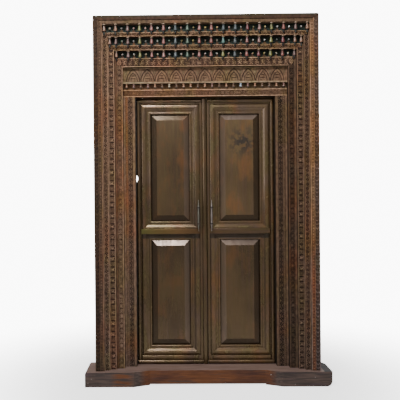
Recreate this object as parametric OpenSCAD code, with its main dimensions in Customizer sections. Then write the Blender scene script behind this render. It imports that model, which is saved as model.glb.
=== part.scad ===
// Carved timber doorway with its frame. Five nested frames step back from a heavy sill
// to the opening. Their heads carry three rows of small turned drops, a frieze and a row
// of pendants. Two panelled leaves swing inward on iron pivots.
// The front faces -Y, and the origin is the middle of the underside.

/* [Overall] */
// Width across the outermost frame
frame_w = 1700; // [1620:10:1900]
// Height from the floor to the top of the top rail
door_h = 2800; // [2600:10:3000]

/* [Sill] */
// Height of the sill
sill_h = 112; // [90:1:150]
// How far each end of the sill runs past the frame
sill_horn = 78; // [30:1:120]
// How far the sill stands in front of the outermost frame
sill_lip = 27; // [10:1:60]
// Depth of the worn recess along the middle of the sill's front
sill_recess = 55; // [0:1:70]
// Half length of the recess at its floor
recess_in = 440; // [300:5:480]
// Half length of the recess at its mouth
recess_out = 560; // [500:5:620]
// Depth of the relief under the middle of the sill
sill_relief = 7; // [0:1:15]

/* [Frames] */
// Face width of the outermost frame's jambs
outer_w = 69; // [60:1:90]
// Face width of the second frame's jambs
second_w = 40; // [34:1:60]
// Face width of the third frame's jambs
third_w = 47; // [40:1:60]
// Face width of the fourth frame's jambs
fourth_w = 61; // [50:1:80]
// Face width of the inner frame's jambs
inner_w = 91; // [80:1:110]
// How far the second frame lies behind the outermost
second_step = 25; // [20:1:40]
// How far the third frame lies behind the second
third_step = 28; // [20:1:40]
// How far the fourth frame lies behind the third
fourth_step = 30; // [20:1:40]
// How far the frieze lies behind the fourth frame
frieze_step = 30; // [15:1:40]
// How far the inner frame lies behind the frieze
inner_step = 25; // [18:1:40]
// Depth of the carved fields below the fillets
field_sink = 5; // [2:0.5:8]

/* [Lintel] */
// Height of the top rail
rail_h = 63; // [50:1:80]
// Height of the second frame's head
second_head_h = 31; // [25:1:45]
// Height of the third frame's head
third_head_h = 37; // [25:1:50]
// Height of the fourth frame's head
fourth_head_h = 67; // [50:1:80]
// Height of the inner frame's carved head
inner_head_h = 56; // [45:1:70]
// Height of the first row of drops
upper_row_h = 61; // [50:1:75]
// Height of the second row of drops
middle_row_h = 61; // [50:1:75]
// Height of the third row of drops
lower_row_h = 55; // [50:1:75]
// Height of the frieze
frieze_h = 122; // [90:1:150]
// Height of the space for the pendants
pendant_h = 43; // [36:1:55]
// Drops on the common pitch in each row
drop_count = 16; // [12:1:17]
// Greatest radius of a drop
drop_r = 15; // [10:0.5:16]
// Depth of the recess behind the drops
row_depth = 60; // [45:1:70]
// Number of pendants below the frieze
pendant_count = 23; // [15:1:27]

/* [Leaves] */
// Thickness of a leaf
leaf_t = 46; // [44:1:60]
// How far the leaves lie behind the inner frame
leaf_step = 73; // [50:1:90]
// Offset of the meeting line from the middle
meet_x = 16; // [-20:1:20]
// Width of the hinge stiles
hinge_stile_w = 115; // [105:1:130]
// Width of the meeting stiles
meet_stile_w = 97; // [92:1:110]
// Height of the top rail of a leaf
top_rail_h = 136; // [110:1:160]
// Height of the middle rail of a leaf
mid_rail_h = 146; // [125:1:170]
// Height of the bottom rail of a leaf
bottom_rail_h = 147; // [130:1:180]
// Height of the lower panel
lower_panel_h = 828; // [600:1:900]
// Width of the panels' sloping margin
bevel_w = 46; // [30:1:60]
// Width of the moulding around a panel
ring_w = 80; // [70:1:84]
// How far that moulding stands proud
ring_proud = 13; // [8:1:18]
// Width of the cover strip on the left leaf
astragal_w = 40; // [30:1:50]

/* [Ironwork] */
// Height of the middle of the pulls above the floor
pull_z = 1281; // [1000:1:1400]
// Distance of each pull from the middle of the cover strip
pull_offset = 51; // [44:1:56]
// Length of a pull
pull_len = 245; // [200:1:280]
// Distance between the two eyes of a pull
eye_spacing = 125; // [90:1:150]
// Finger room behind a pull
finger_gap = 26; // [20:1:40]
// Radius of the pivot pins
pivot_r = 11; // [8:0.5:12]

/* [Hidden] */
$fn = 48;

// Colours
carved_brown = [0.33, 0.22, 0.15];
sill_brown = [0.30, 0.18, 0.13];
bronze_brown = [0.24, 0.19, 0.13];
recess_green = [0.08, 0.11, 0.09];
iron = [0.20, 0.18, 0.17];
drop_colours = [0.62, 0.30, 0.26];

// Clearances
fit = 0.05;          // radial, between a pin and its bore
joint_gap = 0.2;     // between mitred lengths, so that each stays its own piece
jamb_gap = 2.5;      // between a leaf and its jamb
meet_gap = 2;        // between the two leaves
leaf_lift = 4;       // between a leaf and the sill
head_lap = 8;        // how far a leaf rises behind the inner head, which is its stop
stop_gap = 0.5;      // between the leaf's face and that stop
arris = 1.2;         // chamfer along every edge of a moulded face
rear_lip = 10;       // how far the sill runs behind the frame
rear_margin = 6;     // between the back of the leaves and the back of the frame

// Frames are numbered 0 for the outermost to 4 for the inner one
band_w = [outer_w, second_w, third_w, fourth_w, inner_w];
band_step = [sill_lip, second_step, third_step, fourth_step, frieze_step + inner_step];
head_h = [rail_h, second_head_h, third_head_h, fourth_head_h, inner_head_h];
space_h = [upper_row_h, middle_row_h, lower_row_h, frieze_h + pendant_h];

function total(list, n) = n <= 0 ? 0 : list[n - 1] + total(list, n - 1);

sill_w = frame_w + 2 * sill_horn;
sill_d = total(band_step, 5) + leaf_step + leaf_t + rear_margin + rear_lip;
frame_back = sill_d / 2 - rear_lip;

function band_x(i) = frame_w / 2 - total(band_w, i);
function band_y(i) = total(band_step, i + 1) - sill_d / 2;
function head_top(i) = door_h - total(head_h, i) - total(space_h, i);
function head_under(i) = head_top(i) - head_h[i];

open_x = band_x(5);
open_top = head_under(4);
frieze_y = band_y(3) + frieze_step;
frieze_top = head_under(3);
frieze_under = frieze_top - frieze_h;

// Leaves, in their own axes: x from the hinge edge, y from the face, z from the lower edge
leaf_y = band_y(4) + leaf_step;
leaf_z = sill_h + leaf_lift;
leaf_h = open_top + head_lap - leaf_z;
leaf_w = [
    open_x + meet_x - jamb_gap - meet_gap / 2,
    open_x - meet_x - jamb_gap - meet_gap / 2
];
last_stile_w = [meet_stile_w + astragal_w, meet_stile_w];
panel_w = [for (s = [0, 1]) leaf_w[s] - hinge_stile_w - last_stile_w[s]];
mid_rail_z = bottom_rail_h + lower_panel_h;
upper_panel_z = mid_rail_z + mid_rail_h;
upper_panel_h = leaf_h - top_rail_h - upper_panel_z;
heel_r = 24;                     // half round along the hinge edge, about the pivot
heel_y = leaf_t - heel_r;        // pivot line behind the leaf's face
shoulder_drop = head_lap + 1.5;  // the stile is lower round its top pivot
shoulder_w = 2 * heel_r + 4;     // over this width
panel_sink = 13;
panel_t = 20;
groove_depth = 10;
tenon_len = 60;
tenon_t = 14;
ring_over_w = 58;                // narrower moulding along the upper edge of the middle rail
ring_below_w = 46;               // and along its lower edge
land_w = mid_rail_h - ring_over_w - ring_below_w;
astragal_proud = 14;
astragal_drop = 16;              // the cover strip stops short of the leaf's top
edge_w = min(32, hinge_stile_w - ring_w - 2, top_rail_h - ring_w - astragal_drop - 2);
edge_proud = min(12, edge_w / 2);
chip_h = 52;                     // old chip through the left hinge edge
chip_w = 13;
chip_z = 1573 - leaf_z;

// Ironwork
eye_r = 12;
eye_h = 9;
neck_r = 7;
shank_r = 5;
pull_y = -ring_proud - finger_gap - 9;
shank_end = 30;
pull_x = [leaf_w[0] - astragal_w / 2 - pull_offset, leaf_w[1] + meet_gap + astragal_w / 2 - pull_offset];
socket_r = 22;
socket_floor = 8;
socket_depth = 30;
bush_r = 18;
bush_h = 40;
bush_air = 5;
pin_seat = 40;
lintel_z = open_top + head_lap + leaf_lift;
lintel_y = leaf_y - stop_gap;

// ---------- shared shapes ----------

// Face outline of a moulded timber. Strips are [width, sunk depth], edge to edge.
function outline(strips, i = 0, at = 0) =
    i == len(strips) ? [] :
    let (
        here = strips[i][1],
        before = i == 0 ? here + arris : strips[i - 1][1],
        after = i == len(strips) - 1 ? here + arris : strips[i + 1][1],
        far = at + strips[i][0]
    )
    concat(
        before > here ? [[at, here + arris], [at + arris, here]] : [[at, here]],
        after > here ? [[far - arris, here], [far, here + arris]] : [[far, here]],
        outline(strips, i + 1, far)
    );

function widths(strips) = [for (s = strips) s[0]];

module moulded(strips, depth) {
    w = total(widths(strips), len(strips));
    polygon(concat(outline(strips), [[w, depth], [0, depth]]));
}

// Strips that fill a width: named ones with one carved field taking what is left
function field_strips(w, first, last) = [[first, 0], [w - first - last, field_sink], [last, 0]];

jamb_strips = [
    [[6, 0], [outer_w - 39, field_sink - 1], [4, 0], [21, field_sink - 2], [8, 0]],
    field_strips(second_w, 4, 6),
    field_strips(third_w, 4, 7),
    field_strips(fourth_w, 17, 6),
    [[14, 0], [2, 3], [15, field_sink - 1], [3, 0], [inner_w - 55, field_sink], [21, 0]]
];
head_strips = [
    [[36, 0], [3, 6], [rail_h - 39, 2]],
    field_strips(second_head_h, 5, 5),
    field_strips(third_head_h, 5, 5),
    field_strips(fourth_head_h, 6, 6),
    [[pendant_h, 18], [8, 0], [inner_head_h - 16, field_sink], [8, 0]]
];

module right_of(side) {
    mirror([side, 0, 0]) children();
}

// An outline in the plane of the front, taken through the whole depth
module through_depth() {
    translate([0, sill_d, 0]) rotate([90, 0, 0]) linear_extrude(2 * sill_d) children();
}

// What a round of radius r takes off the corner at +X -Y of the plane
module outside_round(r) {
    difference() {
        translate([-r, -1]) square([r + 1, r + 1]);
        translate([-r, r]) circle(r);
    }
}

// What lies above or below the left mitre of frame i
mitre_run = 5;
module past_mitre(i, above) {
    rise = mitre_run * head_h[i] / band_w[i];
    outer = [-band_x(i) - mitre_run, head_top(i) + rise];
    inner = [mitre_run - band_x(i + 1), head_under(i) - rise];
    through_depth()
    polygon([outer, inner, above ? [inner[0], outer[1]] : [outer[0], inner[1]]]);
}

// Worn round upper corner of the outermost frame
corner_r = 12;
module worn_corner() {
    through_depth() translate([-frame_w / 2, door_h]) rotate(180) outside_round(corner_r);
}

// side 0 is the left jamb, side 1 the right. All but the inner frame are mitred.
module jamb(i, side) {
    color(carved_brown)
    right_of(side)
    difference() {
        translate([-band_x(i), band_y(i), sill_h])
            linear_extrude((i < 4 ? head_top(i) : head_under(i)) - sill_h)
            moulded(jamb_strips[i], frame_back - band_y(i));
        if (i < 4) past_mitre(i, true);
        if (i == 0) worn_corner();
    }
}

// A beam along X, under the height top, with the moulded strips on its face
module beam(half_w, y, top, back, strips) {
    translate([-half_w, y, top])
    rotate([0, 90, 0])
    linear_extrude(2 * half_w)
    moulded(strips, back - y);
}

// Pointed leaf shape that stands on a head, between two drops
crest_h = 20;
crest_w = 24;
crest_t = 8;
module crest() {
    r = (pow(crest_h, 2) + pow(crest_w / 2, 2)) / crest_w;
    rotate([90, 0, 0])
    linear_extrude(crest_t, center = true)
    intersection() {
        translate([crest_w / 2 - r, 0]) circle(r);
        translate([r - crest_w / 2, 0]) circle(r);
    }
}

drop_pitch = 2 * (band_x(3) - drop_r - 1) / (drop_count - 1);
function drop_x(n) = (n - (drop_count - 1) / 2) * drop_pitch;
function mid_x(n) = (n - (drop_count - 2) / 2) * drop_pitch;
function end_drop_x(i) = band_x(i + 1) - drop_r - 1;

module head(i) {
    color(carved_brown) {
        difference() {
            beam(band_x(i), band_y(i), head_top(i), frame_back, head_strips[i]);
            for (side = [0, 1]) right_of(side) {
                past_mitre(i, false);
                if (i == 0) worn_corner();
            }
        }
        if (i > 0)
            for (n = [0 : drop_count - 2])
                translate([mid_x(n), band_y(i) + crest_t, head_top(i)]) crest();
    }
}

// Solid timber that closes the space behind a row of drops
module row_backing(i) {
    y = band_y(i) + row_depth;
    color(recess_green)
    translate([-band_x(i + 1), y, head_top(i + 1)])
    cube([2 * band_x(i + 1), frame_back - y, space_h[i]]);
}

// Turned drop, hung by its cap: a bell that widens downward, and a stem that falls
// in front of the head below
drop_overhang = 24;
drop_full = 85;
module drop(h) {
    k = (h + drop_overhang) / drop_full;
    r = drop_r;
    rotate_extrude()
    polygon([
        [0, 0], [r - 1, 0], [r - 1, -4 * k], [r - 6, -6 * k], [r - 6.5, -9 * k],
        [r - 5, -16 * k], [r - 3.5, -26 * k], [r - 1.5, -39 * k], [r, -49 * k],
        [r - 0.5, -53 * k], [r - 4, -55 * k], [7.6, -56.5 * k], [7.2, -66 * k],
        [8, -68 * k], [7.4, -75 * k], [4.5, -81 * k], [0, -drop_full * k]
    ]);
}

module drop_row(i) {
    y = band_y(i + 1) - 9;
    color(drop_colours)
    translate([0, y, head_under(i)]) {
        for (n = [0 : drop_count - 1])
            translate([drop_x(n), 0, 0]) drop(space_h[i]);
        if (i < 2)
            for (s = [-1, 1])
                translate([s * end_drop_x(i), 0, 0]) drop(space_h[i]);
    }
}

// Small painted knob on a stem, one between each two drops
knob_r = 7.5;
stem_r = 3;
knob_reach = 34;
module knob() {
    rotate([90, 0, 0]) cylinder(h = knob_reach, r = stem_r);
    translate([0, -knob_reach, 0]) sphere(knob_r);
}

module pendant() {
    rotate_extrude()
    polygon([
        [0, 0], [5, 0], [8, -4], [8, -9], [5, -13], [4, -15], [8, -21], [9, -26], [6, -33], [0, -39]
    ]);
}

// ---------- fixed frame ----------

sill_end_r = 43;
sill_back_r = 90;
sill_chamfer = 15;
tenon_w = 50;
tenon_d = 60;
tenon_h = 40;
tenon_x = open_x + inner_w / 2;
tenon_y = (band_y(4) + frame_back) / 2;

pivot_x = open_x - jamb_gap - heel_r;
pivot_y = leaf_y + heel_y;

module sill() {
    color(sill_brown)
    difference() {
        linear_extrude(sill_h)
        difference() {
            polygon([
                [-sill_w / 2, -sill_d / 2], [-recess_out, -sill_d / 2],
                [-recess_in, sill_recess - sill_d / 2], [recess_in, sill_recess - sill_d / 2],
                [recess_out, -sill_d / 2], [sill_w / 2, -sill_d / 2],
                [sill_w / 2, sill_d / 2], [-sill_w / 2, sill_d / 2]
            ]);
            translate([sill_w / 2, sill_d / 2]) mirror([0, 1]) outside_round(sill_back_r);
        }
        translate([-recess_in, -sill_d, -1]) cube([2 * recess_in, 2 * sill_d, sill_relief + 1]);
        through_depth() translate([sill_w / 2, 0]) outside_round(sill_end_r);
        translate([-sill_w / 2, 0, sill_h])
            rotate([0, 45, 0]) cube([sill_chamfer, 2 * sill_d, sill_chamfer], center = true);
        for (s = [-1, 1]) {
            translate([s * tenon_x - tenon_w / 2, tenon_y - tenon_d / 2, sill_h - tenon_h])
                cube([tenon_w, tenon_d, tenon_h + 1]);
            translate([s * pivot_x, pivot_y, sill_h - socket_depth - socket_floor])
                cylinder(h = socket_depth + socket_floor + 1, r = socket_r);
        }
    }
}

module inner_jamb(side) {
    jamb(4, side);
    color(carved_brown)
    right_of(side) {
        translate([-tenon_x - tenon_w / 2, tenon_y - tenon_d / 2, sill_h - tenon_h])
            cube([tenon_w, tenon_d, tenon_h + 1]);
        translate([-band_x(4), lintel_y, open_top - 1])
            cube([inner_w, frame_back - lintel_y, lintel_z - open_top + 1]);
    }
}

module inner_head() {
    color(carved_brown)
    beam(band_x(4), band_y(4), frieze_under, lintel_y, head_strips[4]);
}

// A round pad under each bush fills the space over the shoulder of the stile
pad_clear = 2;
pad_r = shoulder_w - heel_r - pad_clear;
pad_z = open_top + stop_gap;
module rear_lintel() {
    color(carved_brown)
    difference() {
        union() {
            translate([-band_x(4), lintel_y, lintel_z])
                cube([2 * band_x(4), frame_back - lintel_y, frieze_under - lintel_z]);
            for (s = [-1, 1])
                translate([s * pivot_x, pivot_y, pad_z])
                intersection() {
                    cylinder(h = lintel_z - pad_z + 1, r = pad_r);
                    translate([-pad_r, lintel_y - pivot_y, 0])
                        cube([2 * pad_r, frame_back - lintel_y, lintel_z - pad_z + 1]);
                }
        }
        for (s = [-1, 1])
            translate([s * pivot_x, pivot_y, pad_z - 1])
                cylinder(h = lintel_z - pad_z + bush_h + bush_air + 1, r = bush_r);
    }
}

module frieze() {
    color(carved_brown)
    beam(band_x(4), frieze_y, frieze_top, frame_back, [[6, 0], [frieze_h - 18, field_sink], [12, 0]]);
}

module frieze_pendants() {
    pitch = 2 * band_x(4) / pendant_count;
    color(carved_brown)
    for (n = [0 : pendant_count - 1])
        translate([(n - (pendant_count - 1) / 2) * pitch, frieze_y + 15, frieze_under]) pendant();
}

end_knob_x = (end_drop_x(0) + drop_x(drop_count - 1)) / 2;
module row_knobs() {
    color("beige")
    for (i = [0 : 2])
        for (n = [0 : drop_count - 2])
            translate([mid_x(n), band_y(i) + row_depth, head_under(i) - space_h[i] / 2]) knob();
    color("beige")
    for (s = [-1, 1])
        translate([s * end_knob_x, band_y(0) + row_depth, head_under(0) - space_h[0] / 2]) knob();
}

module sill_sockets() {
    color(iron)
    for (s = [-1, 1])
        translate([s * pivot_x, pivot_y, sill_h - socket_depth - socket_floor])
        difference() {
            cylinder(h = socket_depth + socket_floor, r = socket_r - fit);
            translate([0, 0, socket_floor]) cylinder(h = socket_depth + 1, r = pivot_r + fit);
        }
}

module lintel_bushes() {
    color(iron)
    for (s = [-1, 1])
        translate([s * pivot_x, pivot_y, lintel_z])
        difference() {
            cylinder(h = bush_h, r = bush_r - fit);
            translate([0, 0, -1]) cylinder(h = bush_h + 2, r = pivot_r + fit);
        }
}

// ---------- leaves ----------

module hung(side) {
    right_of(side)
    translate([jamb_gap - open_x, leaf_y, leaf_z])
    children();
}

// The space that a rail's tenon or a panel's edge takes in its neighbours
module tenon(x, z, h) {
    translate([x, (leaf_t - tenon_t) / 2, z + h / 4]) cube([tenon_len, tenon_t, h / 2]);
}

module rail_tenons(side) {
    for (rail = [[0, bottom_rail_h], [mid_rail_z, mid_rail_h], [leaf_h - top_rail_h, top_rail_h]])
        for (x = [hinge_stile_w - tenon_len, leaf_w[side] - last_stile_w[side]])
            tenon(x, rail[0], rail[1]);
}

module panel_space(side) {
    for (p = [[bottom_rail_h, lower_panel_h], [upper_panel_z, upper_panel_h]])
        translate([hinge_stile_w - groove_depth, panel_sink, p[0] - groove_depth])
            cube([panel_w[side] + 2 * groove_depth, panel_t, p[1] + 2 * groove_depth]);
}

module pull_shanks(side, r) {
    for (s = [-1, 1])
        translate([pull_x[side], 0, pull_z - leaf_z + s * eye_spacing / 2])
        rotate([-90, 0, 0])
        translate([0, 0, pull_y])
        cylinder(h = shank_end - pull_y, r = r);
}

// Lens that is cut through an edge as an old chip
module chip(h, w) {
    r = (pow(h / 2, 2) + pow(w, 2)) / (2 * w);
    rotate([-90, 0, 0])
    linear_extrude(leaf_t + 2)
    intersection() {
        translate([w - r, 0]) circle(r);
        translate([r - w, 0]) circle(r);
    }
}

module hinge_stile(side) {
    color(bronze_brown)
    hung(side)
    difference() {
        linear_extrude(leaf_h) {
            square([heel_r, heel_y]);
            translate([heel_r, 0]) square([hinge_stile_w - heel_r, leaf_t]);
            intersection() {
                translate([heel_r, heel_y]) circle(heel_r);
                translate([0, heel_y]) square([2 * heel_r, heel_r]);
            }
        }
        translate([-1, -1, leaf_h - shoulder_drop])
            cube([shoulder_w + 1, leaf_t + 2, shoulder_drop + 1]);
        for (z = [-1, leaf_h - shoulder_drop - pin_seat])
            translate([heel_r, heel_y, z]) cylinder(h = pin_seat + 1, r = pivot_r + fit);
        rail_tenons(side);
        panel_space(side);
        if (side == 0)
            translate([0, -1, chip_z]) chip(chip_h, chip_w);
    }
}

module meeting_stile(side) {
    color(bronze_brown)
    hung(side)
    difference() {
        translate([leaf_w[side] - last_stile_w[side], 0, 0])
            cube([last_stile_w[side], leaf_t, leaf_h]);
        rail_tenons(side);
        panel_space(side);
        pull_shanks(side, shank_r + fit);
    }
}

module rail(side, z, h) {
    difference() {
        union() {
            translate([hinge_stile_w, 0, z]) cube([panel_w[side], leaf_t, h]);
            tenon(hinge_stile_w - tenon_len, z, h);
            tenon(leaf_w[side] - last_stile_w[side], z, h);
        }
        panel_space(side);
    }
}

module top_rail(side) {
    color(bronze_brown) hung(side) rail(side, leaf_h - top_rail_h, top_rail_h);
}

module mid_rail(side) {
    color(bronze_brown)
    hung(side) {
        rail(side, mid_rail_z, mid_rail_h);
        translate([hinge_stile_w, -ring_proud, mid_rail_z + ring_below_w])
            cube([panel_w[side], ring_proud + 1, land_w]);
    }
}

module bottom_rail(side) {
    color(bronze_brown) hung(side) rail(side, 0, bottom_rail_h);
}

// Section across a fielded panel of width w, with its edges in their grooves
quirk = 3;
module panel_section(w) {
    polygon([
        [-groove_depth, panel_sink], [0, panel_sink], [bevel_w, quirk], [bevel_w, 0],
        [w - bevel_w, 0], [w - bevel_w, quirk], [w, panel_sink], [w + groove_depth, panel_sink],
        [w + groove_depth, panel_sink + panel_t], [-groove_depth, panel_sink + panel_t]
    ]);
}

// Two crossed sections, so that the slopes meet in mitres
module panel(side, z, h) {
    w = panel_w[side];
    color(bronze_brown)
    hung(side)
    translate([hinge_stile_w, 0, z])
    intersection() {
        translate([0, 0, -groove_depth]) linear_extrude(h + 2 * groove_depth) panel_section(w);
        translate([-groove_depth, 0, h])
            rotate([0, 90, 0]) linear_extrude(w + 2 * groove_depth) panel_section(h);
    }
}

// Section of the moulding round a panel, x outward from the panel, y forward
bead_w = 18;
bead_rise = 5;
bead_seat = 2;
slope_from = 24;
slope_to = 50;
slope_low = 3;
curve_steps = 8;
function slope_point(t) = [
    slope_from + (slope_to - slope_from) * t,
    slope_low + (ring_proud - slope_low) * (1 - cos(180 * t)) / 2
];
function fall_point(t) = [
    slope_to + 6 + (ring_w - slope_to - 6) * sin(90 * t),
    ring_proud * cos(90 * t)
];
function bead_point(t) = [
    bead_w * (1 - cos(180 * t)) / 2,
    bead_seat + bead_rise * sin(180 * t)
];

module ring_section(w) {
    intersection() {
        polygon(concat(
            [[0, 0]],
            [for (k = [0 : curve_steps]) bead_point(k / curve_steps)],
            [[bead_w, 1], [slope_from, 1]],
            [for (k = [0 : curve_steps]) slope_point(k / curve_steps)],
            [for (k = [0 : curve_steps - 1]) fall_point(k / curve_steps)],
            [[ring_w, 0]]
        ));
        square([w, ring_proud + 1]);
    }
}

// Mitred area of the length below an opening of width a
function mitre(a, w, g) = [[-g, 0], [-w - g, -w], [a + w + g, -w], [a + g, 0]];

// Length below the opening, which is a wide
module flat_length(a, w) {
    intersection() {
        translate([-w, 0, 0])
            rotate([0, 90, 0]) linear_extrude(a + 2 * w) mirror([0, 1]) ring_section(w);
        translate([0, 1, 0])
            rotate([90, 0, 0]) linear_extrude(ring_proud + 3) polygon(mitre(a, w, 0));
    }
}

// Length beside the opening, which is b high
module upright_length(a, b, foot_w, head_w) {
    difference() {
        translate([0, 0, -foot_w])
            linear_extrude(foot_w + b + head_w) rotate(180) ring_section(ring_w);
        translate([0, 1, 0])
            rotate([90, 0, 0]) linear_extrude(ring_proud + 3) polygon(mitre(a, foot_w, joint_gap));
        translate([0, 1, b]) mirror([0, 0, 1])
            rotate([90, 0, 0]) linear_extrude(ring_proud + 3) polygon(mitre(a, head_w, joint_gap));
    }
}

// Four mitred lengths round a panel whose opening is a by b
module panel_moulding(side, z, b, foot_w, head_w) {
    a = panel_w[side];
    color(bronze_brown)
    hung(side)
    difference() {
        translate([hinge_stile_w, 0, z]) {
            flat_length(a, foot_w);
            translate([0, 0, b]) mirror([0, 0, 1]) flat_length(a, head_w);
            upright_length(a, b, foot_w, head_w);
            translate([a, 0, 0]) mirror([1, 0, 0]) upright_length(a, b, foot_w, head_w);
        }
        pull_shanks(side, shank_r + fit);
    }
}

// Rounded moulding, x along it and z across
module edge_length(len) {
    r = (pow(edge_w / 2, 2) + pow(edge_proud, 2)) / (2 * edge_proud);
    intersection() {
        translate([0, r - edge_proud, edge_w / 2]) rotate([0, 90, 0]) cylinder(h = len, r = r);
        translate([0, -edge_proud - 1, 0]) cube([len, edge_proud + 1, edge_w]);
    }
}

// What lies on one side of a mitre that rises from the corner
module past_corner(above) {
    far = edge_w + 2;
    gap = above ? 0 : joint_gap;
    through_depth()
    polygon([[-2, gap - 2], [far, gap + far], above ? [-2, far] : [far, gap - 2]]);
}

// Along the foot, the hinge edge and the head of a leaf, with mitred corners
module edge_moulding(side) {
    h = leaf_h - astragal_drop;
    color(bronze_brown)
    hung(side) {
        for (up = [0, 1])
            translate([0, 0, up * h]) mirror([0, 0, up])
            difference() {
                edge_length(leaf_w[side] - (side == 0 ? astragal_w : 0));
                past_corner(true);
            }
        difference() {
            mirror([1, 0, -1]) edge_length(h);
            past_corner(false);
            translate([0, 0, h]) mirror([0, 0, 1]) past_corner(false);
            if (side == 0)
                translate([0, -edge_proud - 1, chip_z]) chip(chip_h, chip_w);
        }
    }
}

module astragal_section(half_w) {
    r = (pow(astragal_w / 2, 2) + pow(astragal_proud, 2)) / (2 * astragal_proud);
    intersection() {
        translate([0, r - astragal_proud]) circle(r);
        translate([-half_w, -half_w]) square([2 * half_w, half_w]);
    }
}

// Part round in section, with a rounded upper end
module cover_strip() {
    h = leaf_h - astragal_drop;
    end_r = astragal_w / 2 + 1;
    color(bronze_brown)
    hung(0)
    translate([leaf_w[0] - astragal_w / 2, 0, 0]) {
        linear_extrude(h - end_r) astragal_section(end_r);
        intersection() {
            translate([0, 0, h - end_r]) linear_extrude(end_r) astragal_section(end_r);
            translate([0, end_r, h - end_r]) rotate([90, 0, 0]) cylinder(h = 2 * end_r, r = end_r);
        }
    }
}

// ---------- ironwork of the leaves ----------

function both_ways(half) = concat(
    [for (p = half) p],
    [for (k = [len(half) - 1 : -1 : 0]) [half[k][0], -half[k][1]]]
);

module pull(side) {
    e = eye_spacing / 2;
    half = [
        [0, pull_len / 2], [3, pull_len / 2 - 1], [4, pull_len / 2 - 5], [2.6, pull_len / 2 - 10],
        [6, e + 18], [8.6, e + 8], [8.6, e + eye_h / 2], [neck_r, e + eye_h / 2],
        [neck_r, e - eye_h / 2], [8.6, e - eye_h / 2], [8.6, e - 10], [7, e - 16],
        [7.4, e - 30], [8.6, 6], [8.6, 3]
    ];
    color(iron)
    hung(side)
    translate([pull_x[side], pull_y, pull_z - leaf_z])
    rotate_extrude()
    polygon(both_ways(half));
}

module pull_eyes(side) {
    color(iron)
    hung(side)
    difference() {
        union() {
            pull_shanks(side, shank_r);
            for (s = [-1, 1])
                translate([pull_x[side], pull_y, pull_z - leaf_z + s * eye_spacing / 2])
                    cylinder(h = eye_h, r = eye_r, center = true);
        }
        translate([pull_x[side], pull_y, pull_z - leaf_z])
            cylinder(h = pull_len, r = neck_r + fit, center = true);
    }
}

module pivot(side, from, to) {
    color(iron)
    hung(side)
    translate([heel_r, heel_y, from])
    cylinder(h = to - from, r = pivot_r);
}

sill();
jamb(0, 0);  // outer_jamb_left
jamb(0, 1);  // outer_jamb_right
head(0);  // outer_top_rail
jamb(1, 0);  // second_jamb_left
jamb(1, 1);  // second_jamb_right
head(1);  // second_head
jamb(2, 0);  // third_jamb_left
jamb(2, 1);  // third_jamb_right
head(2);  // third_head
jamb(3, 0);  // fourth_jamb_left
jamb(3, 1);  // fourth_jamb_right
head(3);  // fourth_head
inner_jamb(0);  // inner_jamb_left
inner_jamb(1);  // inner_jamb_right
inner_head();
rear_lintel();
row_backing(0);  // upper_row_backing
row_backing(1);  // middle_row_backing
row_backing(2);  // lower_row_backing
drop_row(0);  // upper_row_drops
drop_row(1);  // middle_row_drops
drop_row(2);  // lower_row_drops
row_knobs();
frieze();
frieze_pendants();
sill_sockets();
lintel_bushes();
hinge_stile(0);  // left_hinge_stile
meeting_stile(0);  // left_meeting_stile
top_rail(0);  // left_top_rail
mid_rail(0);  // left_mid_rail
bottom_rail(0);  // left_bottom_rail
panel(0, upper_panel_z, upper_panel_h);  // left_upper_panel
panel(0, bottom_rail_h, lower_panel_h);  // left_lower_panel
panel_moulding(0, upper_panel_z, upper_panel_h, ring_over_w, ring_w);  // left_upper_moulding
panel_moulding(0, bottom_rail_h, lower_panel_h, ring_w, ring_below_w);  // left_lower_moulding
edge_moulding(0);  // left_edge_moulding
cover_strip();  // left_cover_strip
pull(0);  // left_pull
pull_eyes(0);  // left_pull_eyes
pivot(0, leaf_h - shoulder_drop - pin_seat, lintel_z + bush_h - bush_air - leaf_z);  // left_top_pivot
pivot(0, -leaf_lift - socket_depth, pin_seat);  // left_bottom_pivot
hinge_stile(1);  // right_hinge_stile
meeting_stile(1);  // right_meeting_stile
top_rail(1);  // right_top_rail
mid_rail(1);  // right_mid_rail
bottom_rail(1);  // right_bottom_rail
panel(1, upper_panel_z, upper_panel_h);  // right_upper_panel
panel(1, bottom_rail_h, lower_panel_h);  // right_lower_panel
panel_moulding(1, upper_panel_z, upper_panel_h, ring_over_w, ring_w);  // right_upper_moulding
panel_moulding(1, bottom_rail_h, lower_panel_h, ring_w, ring_below_w);  // right_lower_moulding
edge_moulding(1);  // right_edge_moulding
pull(1);  // right_pull
pull_eyes(1);  // right_pull_eyes
pivot(1, leaf_h - shoulder_drop - pin_seat, lintel_z + bush_h - bush_air - leaf_z);  // right_top_pivot
pivot(1, -leaf_lift - socket_depth, pin_seat);  // right_bottom_pivot
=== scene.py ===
# Looks of a carved timber doorway with two panelled leaves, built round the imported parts.
# Metres, the carved front faces -Y, up is +Z, and the origin is under the middle of the sill.
import math
import random

import bmesh
import bpy
from mathutils import Matrix, Vector


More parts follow.
